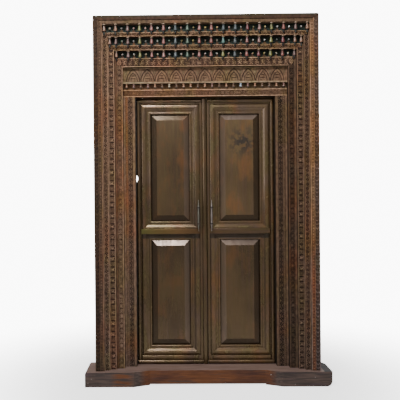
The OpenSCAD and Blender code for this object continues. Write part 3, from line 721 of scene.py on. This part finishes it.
# Drops are turned one by one, so no two are quite alike
def turnDrops(row, columnPitch, material):
    node = row + "_row_drops"
    low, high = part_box(node)
    size = (high.z - low.z) / dropLook["full"]
    bm = bmesh.new()
    corners = [bm.verts.new((radius * mm, 0, -depth * mm * size)) for radius, depth in dropLook["outline"]]
    edges = [bm.edges.new(pair) for pair in zip(corners, corners[1:])]
    bmesh.ops.spin(bm, geom=corners + edges, cent=(0, 0, 0), axis=(0, 0, 1), dvec=(0, 0, 0),
                   angle=math.tau, steps=16, use_merge=True, use_normal_flip=False, use_duplicate=False)
    shape = asMesh(bm, "drop")
    ends = 0 if row == "lower" else 1
    count = len(dropLook[row]) - 2 * ends
    places = [(n - (count - 1) / 2) * columnPitch for n in range(count)]
    if ends:
        places += [low.x + dropLook["radius"], high.x - dropLook["radius"]]
    made = bmesh.new()
    for x in places:
        girth = chance.uniform(0.93, 1.0)
        place = Matrix.Translation((x, (low.y + high.y) / 2, high.z))
        addCopy(made, shape, place @ Matrix.Diagonal((girth, girth, chance.uniform(0.96, 1.0), 1)))
    bpy.data.meshes.remove(shape)
    piece = finishPiece(made, row + "_row_turned_drops", "frame", material)
    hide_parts(node)


def wholeSteps(tree, value, step):
    return put(tree, "Math", {0: times(tree, value, 1 / step)}, operation="FLOOR").outputs[0]


# Every cell of a row draws its own paint from the list
def cellPaint(tree, axes, pitch, step, names):
    cell = wholeSteps(tree, axes.outputs["X"], pitch)
    row = wholeSteps(tree, axes.outputs["Z"], step)
    where = put(tree, "CombineXYZ", {"X": cell, "Y": row, "Z": 4.0}).outputs[0]
    draw = put(tree, "TexWhiteNoise", {"Vector": where}).outputs["Value"]
    return coloursByPlace(tree, draw, [n / len(names) for n in range(len(names) + 1)], names)


knobLook = {
    "cellTall": 45 * mm,
    "colours": ["grey", "cream", "night", "yellow", "mauve", "white", "mint", "night", "grey", "pink",
                "cream", "night"],
}


def paintKnobs(look, columnPitch):
    made, tree, shader, where, axes, worn, soft = makePaint("knobPaint")
    colour = cellPaint(tree, axes, columnPitch, look["cellTall"], look["colours"])
    colour = baredPaint(tree, worn, colour)
    feed(tree, shader, colour)
    dress("row_knobs", made)


pendantLook = {
    "stemFrom": 24 * mm,
    "colours": ["tan", "mauve", "umber", "mauve", "tan", "umber", "cream", "umber", "tan", "tan",
                "umber", "tan", "mauve", "umber", "tan", "umber", "frost", "mauve", "tan", "umber",
                "umber", "tan", "mauve"],
}


def paintPendants(look):
    low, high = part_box("frieze_pendants")
    made, tree, shader, where, axes, worn, soft = makePaint("pendantPaint")
    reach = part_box("frieze")[1].x
    count = len(look["colours"])
    edges = [(2 * n / count - 1) * reach for n in range(count + 1)]
    colour = coloursByPlace(tree, axes.outputs["X"], edges, look["colours"])
    depth = takeFrom(tree, high.z, axes.outputs["Z"])
    lower = spread(tree, depth, look["stemFrom"], look["stemFrom"] + 6 * mm)
    colour = blendColours(tree, lower, colour, paints["stem"])
    colour = baredPaint(tree, worn, colour)
    feed(tree, shader, colour)
    dress("frieze_pendants", made)


columnPitch = 2 * (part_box("lower_row_drops")[1].x - dropLook["radius"]) / (len(dropLook["lower"]) - 1)
for row in ("upper", "middle", "lower"):
    turnDrops(row, columnPitch, makeDropPaint(row, columnPitch))
paintKnobs(knobLook, columnPitch)
paintPendants(pendantLook)


# Green-black paint behind the drops, and the plain timbers that nobody sees from the front
def makeRecessPaint():
    made, tree, shader, where, axes = startMaterial("recessPaint", 0.7, specular=0.2)
    worn = noise(tree, where, 60, (1, 1, 1), 4.0)
    colour = colourSteps(tree, worn, [(0.35, (0.006, 0.010, 0.008)), (0.55, (0.014, 0.024, 0.018)),
                                      (0.72, (0.050, 0.040, 0.025))])
    colour = blendColours(tree, isBehind(tree, axes), colour, bareTimber(tree, where, levelAlong, 14.0))
    feed(tree, shader, colour)
    addBump(tree, shader, worn, 0.4, 0.8 * mm)
    return made


recessPaint = makeRecessPaint()
for row in ("upper", "middle", "lower"):
    dress(row + "_row_backing", recessPaint)
dress("rear_lintel", makeTimber("rearTimber", -1.0, ("Z", 3.0), levelAlong, 13.0, warmth=0.4))
print("painted rows done")

# The sill: grey and purple-brown outside, remains of orange-red paint in the worn recess
sillLook = {
    "outer": (0.060, 0.040, 0.033), "dark": (0.030, 0.022, 0.020), "top": (0.150, 0.098, 0.080),
    "recess": (0.042, 0.0165, 0.011), "orange": (0.086, 0.031, 0.012),
    "violet": (0.050, 0.032, 0.036), "horn": (0.010, 0.009, 0.009),
    "mouth": 500 * mm, "topFrom": 1.0 * mm, "hornFrom": 865 * mm, "patch": (-710 * mm, -580 * mm),
    "grain": 120, "patches": 7, "streaks": 26, "specks": 210,
}


def makeSillTimber(look):
    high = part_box("sill")[1]
    made, tree, shader, where, axes = startMaterial("sillTimber", 0.75, specular=0.2)
    grain = noise(tree, where, look["grain"], (0.06, 1, 1), 5.0)
    patches = noise(tree, where, look["patches"], (0.5, 1, 2.2), 3.0, (4, 2, 1))
    streaks = noise(tree, where, look["streaks"], (0.22, 1, 2.4), 3.0, (9, 2, 1))
    specks = noise(tree, where, look["specks"], (1, 1, 1), 2.0, (3, 3, 3))
    outer = blendColours(tree, spread(tree, streaks, 0.38, 0.62), look["dark"], look["outer"])
    outer = blendColours(tree, spread(tree, patches, 0.55, 0.70), outer, look["violet"])
    recess = blendColours(tree, spread(tree, patches, 0.40, 0.62), look["orange"], look["recess"])
    recess = blendColours(tree, spread(tree, streaks, 0.60, 0.72), recess, look["dark"])
    away = withoutSign(tree, axes.outputs["X"])
    inside = spread(tree, away, look["mouth"] + 20 * mm, look["mouth"] - 30 * mm)
    colour = blendColours(tree, inside, outer, recess)
    patch = times(tree, between(tree, axes.outputs["X"], *look["patch"], 30 * mm),
                  spread(tree, streaks, 0.42, 0.56))
    colour = blendColours(tree, patch, colour, look["orange"])
    topZ = high.z - look["topFrom"]
    topped = times(tree, spread(tree, axes.outputs["Z"], topZ - 0.5 * mm, topZ + 0.5 * mm),
                   spread(tree, streaks, 0.25, 0.5, 0.55, 1.0))
    colour = blendColours(tree, topped, colour, look["top"])
    horn = spread(tree, axes.outputs["X"], look["hornFrom"], look["hornFrom"] + 10 * mm)
    colour = blendColours(tree, times(tree, horn, topped), colour, look["horn"])
    colour = blendColours(tree, times(tree, spread(tree, specks, 0.72, 0.76), 0.7), colour, look["top"])
    colour = lit(tree, colour, vary(tree, grain, 0.72, 1.22))
    feed(tree, shader, colour)
    addBump(tree, shader, grain, 0.5, 1.2 * mm)
    dress("sill", made)


makeSillTimber(sillLook)

# Domed heads of old nails in the sill's front: x, z and radius in millimetres. The front is
# flat outside the mouth of the worn hollow, and slopes in to the hollow's floor.
nailLook = {
    "heads": [(475, 80, 5.0), (650, 17, 3.0), (-880, 62, 3.5), (-905, 30, 3.0), (800, 70, 3.0)],
    "height": 0.45, "mouth": 560 * mm, "floor": 440 * mm, "recess": 55 * mm,
}


def addSillNails(look, material):
    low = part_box("sill")[0]
    mouth, recess = look["mouth"], look["recess"]
    run = mouth - look["floor"]
    bm = bmesh.new()
    for x, z, radius in look["heads"]:
        away = abs(x) * mm
        y = low.y + recess * max(0.0, (mouth - away) / run)
        slope = math.atan2(recess, run) if away < mouth else 0.0
        made = bmesh.ops.create_uvsphere(bm, u_segments=16, v_segments=8, radius=radius * mm)
        place = Matrix.Translation((x * mm, y, z * mm))
        turn = Matrix.Rotation(-math.copysign(slope, x), 4, "Z")
        size = Matrix.Diagonal((1, look["height"], 1, 1))
        bmesh.ops.transform(bm, matrix=place @ turn @ size, verts=made["verts"])
    finishPiece(bm, "sill_nails", "frame", material)


def makeIron(name, colour, rust, roughness=0.5, metallic=0.6, seat=0.0):
    made, tree, shader, where, axes = startMaterial(name, roughness, metallic)
    mottled = noise(tree, where, 90, (1, 1, 0.5), 4.0, (seat, seat, 2))
    tone = colourSteps(tree, mottled, [(0.30, shaded(colour, 0.55)), (0.50, colour), (0.70, rust)])
    feed(tree, shader, tone, vary(tree, mottled, roughness - 0.12, roughness + 0.15))
    addBump(tree, shader, mottled, 0.25, 0.5 * mm)
    return made


addSillNails(nailLook, makeIron("nailIron", (0.20, 0.17, 0.16), (0.10, 0.05, 0.03)))
pivotIron = makeIron("pivotIron", (0.10, 0.09, 0.085), (0.09, 0.04, 0.02))
for node in ("sill_sockets", "lintel_bushes", "left_top_pivot", "left_bottom_pivot",
             "right_top_pivot", "right_bottom_pivot"):
    dress(node, pivotIron)
dress("left_pull",
      makeIron("leftPullIron", (0.115, 0.110, 0.090), (0.08, 0.06, 0.045), 0.44, 0.65, 1.0))
dress("right_pull",
      makeIron("rightPullIron", (0.170, 0.145, 0.135), (0.11, 0.08, 0.07), 0.44, 0.65, 3.0))
eyeIron = makeIron("eyeIron", (0.020, 0.017, 0.016), (0.05, 0.025, 0.015), 0.5, 0.5)
for sideName in ("left", "right"):
    dress(sideName + "_pull_eyes", eyeIron)
print("sill and ironwork done")

# Dark bronze-brown finish of the leaves
leafLook = {
    "base": (0.098, 0.062, 0.030), "deep": (0.052, 0.032, 0.017), "olive": (0.075, 0.060, 0.022),
    # Painted shade: the last colour on the next line
    "copper": (0.150, 0.066, 0.026), "mauve": (0.100, 0.066, 0.055), "shadeColour": (0.008, 0.005, 0.003),
    # Painted shade: the first colour on the next line; painted sheen: the second
    "slopeShade": (0.022, 0.012, 0.005), "wearAndSheen": (0.185, 0.135, 0.110), "stain": (0.045, 0.034, 0.026),
    "gold": [(0.0, (0.090, 0.080, 0.022)), (0.25, (0.105, 0.070, 0.022)),
             (0.65, (0.120, 0.066, 0.026)), (1.0, (0.080, 0.042, 0.018))],
    "goldFrom": -500 * mm, "goldTo": -50 * mm,
    "roughness": 0.195, "metallic": 0.66,
    "streaks": 55, "wide": 2.6, "fine": 380, "tints": 9, "blot": 24,
}
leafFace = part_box("left_hinge_stile")[0].y
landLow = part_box("left_lower_moulding")[1].z
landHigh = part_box("left_upper_moulding")[0].z


# Gold and copper tints along the flat land, strongest on the left leaf
def gildLand(tree, axes, colour, share):
    look = leafLook
    onLand = times(tree, between(tree, axes.outputs["Z"], landLow, landHigh),
                   spread(tree, axes.outputs["Y"], leafFace + 1 * mm, leafFace - 2 * mm))
    along = spread(tree, axes.outputs["X"], look["goldFrom"], look["goldTo"])
    return blendColours(tree, times(tree, onLand, share), colour, colourSteps(tree, along, look["gold"]))


# Dark blot with a ragged edge
def stainLeaf(tree, where, colour, stain):
    apart = put(tree, "VectorMath", {0: where, 1: stain["place"]}, operation="DISTANCE").outputs["Value"]
    blot = noise(tree, where, leafLook["blot"], (1, 1, 1), 4.0, (2, 2, 8))
    share = times(tree, spread(tree, apart, stain["radius"], stain["radius"] * 0.2),
                  spread(tree, blot, 0.46, 0.56))
    return blendColours(tree, share, colour, leafLook["stain"])


# Slopes that face one way get painted shade or a painted sheen: axis, way, lean range, share and tint
def tintSlopes(tree, colour, slopes):
    normal = put(tree, "TexCoord").outputs["Normal"]
    lean = put(tree, "SeparateXYZ", {"Vector": normal}).outputs
    for axis, way, low, high, share, tint in slopes:
        turned = spread(tree, times(tree, lean[axis], way), low, high)
        colour = blendColours(tree, times(tree, turned, share), colour, leafLook[tint])
    return colour


# sunkRoughness is how much rougher the faces sunk behind the leaf's face are. Above the height
# of shade, the piece gets painted shade under the land and is duller.
def makeBronze(name, along, seat, tone=1.0, copper=0.5, streak=0.6, gilt=0.0, stain=None,
               slopes=(), bump=0.12, dull=0.0, sunkRoughness=3.6, shade=None):
    look = leafLook
    roughness = look["roughness"] + dull
    made, tree, shader, where, axes = startMaterial(name, roughness, look["metallic"])
    streaks = noise(tree, where, look["streaks"], along, 3.0, (seat, seat, seat))
    wide = noise(tree, where, look["wide"], (1, 1, 0.7), 2.0, (seat, 3, seat))
    fine = noise(tree, where, look["fine"], along, 3.0, (seat, 1, 1))
    tint = noise(tree, where, look["tints"], (1, 1, 0.5), 3.0, (seat, 5, seat))
    colour = blendColours(tree, spread(tree, wide, 0.38, 0.60), shaded(look["deep"], 1.3 * tone),
                          shaded(look["base"], tone))
    for share, hue in ((times(tree, spread(tree, tint, 0.50, 0.68), copper), "copper"),
                       (times(tree, spread(tree, streaks, 0.45, 0.68), streak), "olive"),
                       (times(tree, spread(tree, streaks, 0.50, 0.30), streak * 0.8), "mauve")):
        colour = blendColours(tree, share, colour, shaded(look[hue], tone))
    if gilt:
        colour = gildLand(tree, axes, colour, gilt)
    if stain:
        colour = stainLeaf(tree, where, colour, stain)
    if slopes:
        colour = tintSlopes(tree, colour, slopes)
    # Faces sunk behind the leaf's face darken: painted shade in the recesses
    sunk = spread(tree, axes.outputs["Y"], leafFace + 1 * mm, leafFace + 14 * mm)
    colour = blendColours(tree, times(tree, sunk, 0.45), colour, look["shadeColour"])
    rougher = spread(tree, axes.outputs["Y"], leafFace + 2 * mm, leafFace + 6 * mm, 1.0, sunkRoughness)
    if shade:
        shelter = spread(tree, axes.outputs["Z"], shade - 1 * mm, shade + 1 * mm)
        colour = blendColours(tree, times(tree, shelter, 0.8), colour, look["shadeColour"])
        rougher = times(tree, rougher, spread(tree, shelter, 0.0, 1.0, 1.0, 2.6))
    colour = lit(tree, colour, vary(tree, fine, 0.86, 1.12))
    gloss = vary(tree, streaks, roughness - 0.05, roughness + 0.06)
    feed(tree, shader, colour, times(tree, gloss, rougher))
    addBump(tree, shader, fine, bump, 0.3 * mm)
    return made


# Panel bevels: painted shade on the outer and foot ones, painted sheen on the inner, the given tint on top
def panelSlopes(dark, crownTint, crownShare):
    return [("X", dark, 0.08, 0.20, 0.66, "slopeShade"), ("X", -dark, 0.08, 0.20, 0.30, "wearAndSheen"),
            ("Z", -1, 0.08, 0.20, 0.72, "slopeShade"), ("Z", 1, 0.08, 0.20, crownShare, crownTint)]


uprightGrain = (1, 1, 0.035)
levelGrain = (0.035, 1, 1)
mouldedGrain = (0.2, 1, 0.1)
# crown tints the upper panel's top bevel: painted shade on the left leaf, painted sheen on the right
leafFinish = {
    "left": {"seat": 20.0, "tone": 0.86, "dark": -1, "gilt": 1.0, "upper": 1.05, "lower": 0.92,
             "crown": ("slopeShade", 0.50), "stain": None},
    "right": {"seat": 30.0, "tone": 0.96, "dark": 1, "gilt": 0.15, "upper": 1.25, "lower": 0.95,
              "crown": ("wearAndSheen", 0.85),
              "stain": {"place": (300 * mm, leafFace, 1860 * mm), "radius": 160 * mm}},
}
for sideName, look in leafFinish.items():
    seat, tone = look["seat"], look["tone"]
    upright = makeBronze(sideName + "StileBronze", uprightGrain, seat, tone)
    level = makeBronze(sideName + "RailBronze", levelGrain, seat + 1, tone, gilt=look["gilt"])
    # Painted shade on the moulding faces that turn left
    lee = [("X", -1, 0.15, 0.5, 0.65, "slopeShade")]
    moulded = makeBronze(sideName + "MouldingBronze", mouldedGrain, seat + 2, 1.08 * tone, 0.6,
                         slopes=lee, dull=0.045)
    # Painted shade on the top member of the lower moulding, under the land
    sheltered = makeBronze(sideName + "LowerMouldingBronze", mouldedGrain, seat + 2, 1.08 * tone, 0.6,
                           slopes=lee, dull=0.045, shade=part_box(sideName + "_lower_panel")[1].z)
    upperPanel = makeBronze(sideName + "UpperPanelBronze", uprightGrain, seat + 3,
                            look["upper"] * tone, 0.9, 0.3, stain=look["stain"], bump=0.03,
                            slopes=panelSlopes(look["dark"], *look["crown"]), sunkRoughness=1.0)
    lowerPanel = makeBronze(sideName + "LowerPanelBronze", uprightGrain, seat + 4,
                            look["lower"] * tone, 0.5, 0.3, bump=0.03,
                            slopes=panelSlopes(look["dark"], "wearAndSheen", 0.70), sunkRoughness=1.0)
    finish = {
        "hinge_stile": upright, "meeting_stile": upright, "top_rail": level, "mid_rail": level,
        "bottom_rail": level, "upper_panel": upperPanel, "lower_panel": lowerPanel,
        "upper_moulding": moulded, "lower_moulding": sheltered, "edge_moulding": moulded,
    }
    for part, material in finish.items():
        dress(sideName + "_" + part, material)
    if sideName == "left":
        dress("left_cover_strip", upright)


# Flat land across the middle of each leaf, as wide as the mouldings above and below it
landLook = {"proud": 14 * mm, "gap": 0.5 * mm, "arris": 1.5 * mm}


def addBar(bm, low, high):
    made = bmesh.ops.create_cube(bm, size=1)
    place = Matrix.Translation((low + high) / 2) @ Matrix.Diagonal((*(high - low), 1))
    bmesh.ops.transform(bm, matrix=place, verts=made["verts"])
    return made["verts"]


def addLand(sideName, look, material):
    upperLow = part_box(sideName + "_upper_moulding")[0]
    lowerLow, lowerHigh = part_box(sideName + "_lower_moulding")
    low = Vector((lowerLow.x, leafFace - look["proud"], lowerHigh.z + look["gap"]))
    high = Vector((lowerHigh.x, leafFace, upperLow.z - look["gap"]))
    bm = bmesh.new()
    addBar(bm, low, high)
    bmesh.ops.bevel(bm, geom=bm.edges, offset=look["arris"], segments=3, profile=0.5, affect="EDGES",
                    material=-1)
    finishPiece(bm, sideName + "_land", sideName + "_leaf", material)


# Round bead along the foot of each leaf, and a wide shallow moulding above it
footLook = [
    {"from": 0, "tall": 30 * mm, "proud": 14 * mm, "round": 0.85, "inset": 1 * mm},
    {"from": 35 * mm, "tall": 31 * mm, "proud": 8 * mm, "round": 0.8, "inset": 33 * mm},
]


def addFootMouldings(sideName, bars, material):
    edgeLow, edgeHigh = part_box(sideName + "_edge_moulding")
    bm = bmesh.new()
    for bar in bars:
        low = Vector((edgeLow.x + bar["inset"], leafFace - bar["proud"], edgeLow.z + bar["from"]))
        high = Vector((edgeHigh.x - bar["inset"], leafFace, edgeLow.z + bar["from"] + bar["tall"]))
        corners = addBar(bm, low, high)
        frontEdges = {edge for corner in corners for edge in corner.link_edges
                      if all(abs(end.co.y - low.y) < 0.1 * mm for end in edge.verts)}
        bmesh.ops.bevel(bm, geom=sorted(frontEdges, key=lambda edge: edge.index),
                        offset=bar["round"] * bar["proud"], segments=6, profile=0.5, affect="EDGES",
                        material=-1)
    finishPiece(bm, sideName + "_foot_mouldings", sideName + "_leaf", material)


for sideName in ("left", "right"):
    addLand(sideName, landLook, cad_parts[sideName + "_mid_rail"].data.materials[0])
    addFootMouldings(sideName, footLook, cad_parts[sideName + "_edge_moulding"].data.materials[0])
print("leaves done")


# Camera and light

cameraLook = {"place": (-0.263, -4.925, 1.427), "yaw": -0.0148, "pitch": -0.0064, "roll": -0.0083,
              "lens": 57.35, "shiftX": 0.094, "shiftY": 0.003}
lightLook = {
    "world": 0.62, "backdrop": 10.0,
    "key": {"place": (-0.9, -3.0, 4.6), "aim": (-0.1, 0, 1.4), "wide": 1.0, "tall": 0.8, "power": 230},
    "side": {"place": (-3.4, -3.2, 2.4), "aim": (0, 0, 1.3), "wide": 1.4, "tall": 1.8, "power": 50},
    "rear": {"place": (1.6, 4.6, 3.2), "aim": (0, 0, 1.3), "wide": 2.0, "tall": 2.0, "power": 140},
    "strip": {"place": (-0.50, -13.9, 6.3), "aim": (-0.2, 0, 1.1), "wide": 1.1, "tall": 1.1, "power": 260},
}


def addCamera(look):
    data = bpy.data.cameras.new("camera")
    data.lens = look["lens"]
    data.shift_x = look["shiftX"]
    data.shift_y = look["shiftY"]
    camera = bpy.data.objects.new("camera", data)
    camera.matrix_world = (
        Matrix.Translation(look["place"])
        @ Matrix.Rotation(-look["yaw"], 4, "Z")
        @ Matrix.Rotation(math.pi / 2 + look["pitch"], 4, "X")
        @ Matrix.Rotation(look["roll"], 4, "Z"))
    bpy.context.scene.collection.objects.link(camera)
    bpy.context.scene.camera = camera


def addSoftLight(name, look):
    data = bpy.data.lights.new(name, "AREA")
    data.shape = "RECTANGLE"
    data.size = look["wide"]
    data.size_y = look["tall"]
    data.energy = look["power"]
    light = bpy.data.objects.new(name, data)
    aim = Vector(look["aim"]) - Vector(look["place"])
    turn = aim.to_track_quat("-Z", "Y").to_matrix().to_4x4()
    light.matrix_world = Matrix.Translation(look["place"]) @ turn
    bpy.context.scene.collection.objects.link(light)


def addWorld(look):
    world = bpy.data.worlds.new("studio")
    bpy.context.scene.world = world
    world.use_nodes = True
    tree = world.node_tree
    tree.nodes.clear()
    soft = put(tree, "Background", {"Color": (1.0, 0.985, 0.96, 1), "Strength": look["world"]})
    seen = put(tree, "Background", {"Color": (1, 1, 1, 1), "Strength": look["backdrop"]})
    path = put(tree, "LightPath")
    both = put(tree, "MixShader", {0: path.outputs["Is Camera Ray"], 1: soft.outputs[0],
                                   2: seen.outputs[0]})
    put(tree, "OutputWorld", {"Surface": both.outputs[0]})


def addFloor():
    bm = bmesh.new()
    bmesh.ops.create_circle(bm, cap_ends=True, segments=64, radius=3.2)
    mesh = bpy.data.meshes.new("floor")
    bm.to_mesh(mesh)
    bm.free()
    made, tree, shader, where, axes = startMaterial("paleFloor", 0.9)
    shader.inputs["Base Color"].default_value = (0.86, 0.86, 0.86, 1)
    reach = put(tree, "VectorMath", {0: where}, operation="LENGTH").outputs["Value"]
    clear = put(tree, "BsdfTransparent")
    fade = put(tree, "MapRange", {"Value": reach, "From Min": 0.9, "From Max": 3.0},
               interpolation_type="SMOOTHSTEP")
    seen = put(tree, "Emission", {"Color": (1, 1, 1, 1), "Strength": 4.0})
    path = put(tree, "LightPath")
    lifted = put(tree, "MixShader", {0: times(tree, path.outputs["Is Camera Ray"], 0.5),
                                     1: shader.outputs[0], 2: seen.outputs[0]})
    both = put(tree, "MixShader", {0: fade.outputs[0], 1: lifted.outputs[0], 2: clear.outputs[0]})
    tree.links.new(both.outputs[0], tree.nodes["Material Output"].inputs["Surface"])
    mesh.materials.append(made)
    floor = bpy.data.objects.new("floor", mesh)
    bpy.context.scene.collection.objects.link(floor)


addCamera(cameraLook)
for name in ("key", "side", "strip", "rear"):
    addSoftLight(name + "Light", lightLook[name])
addWorld(lightLook)
addFloor()
print("camera and light done")
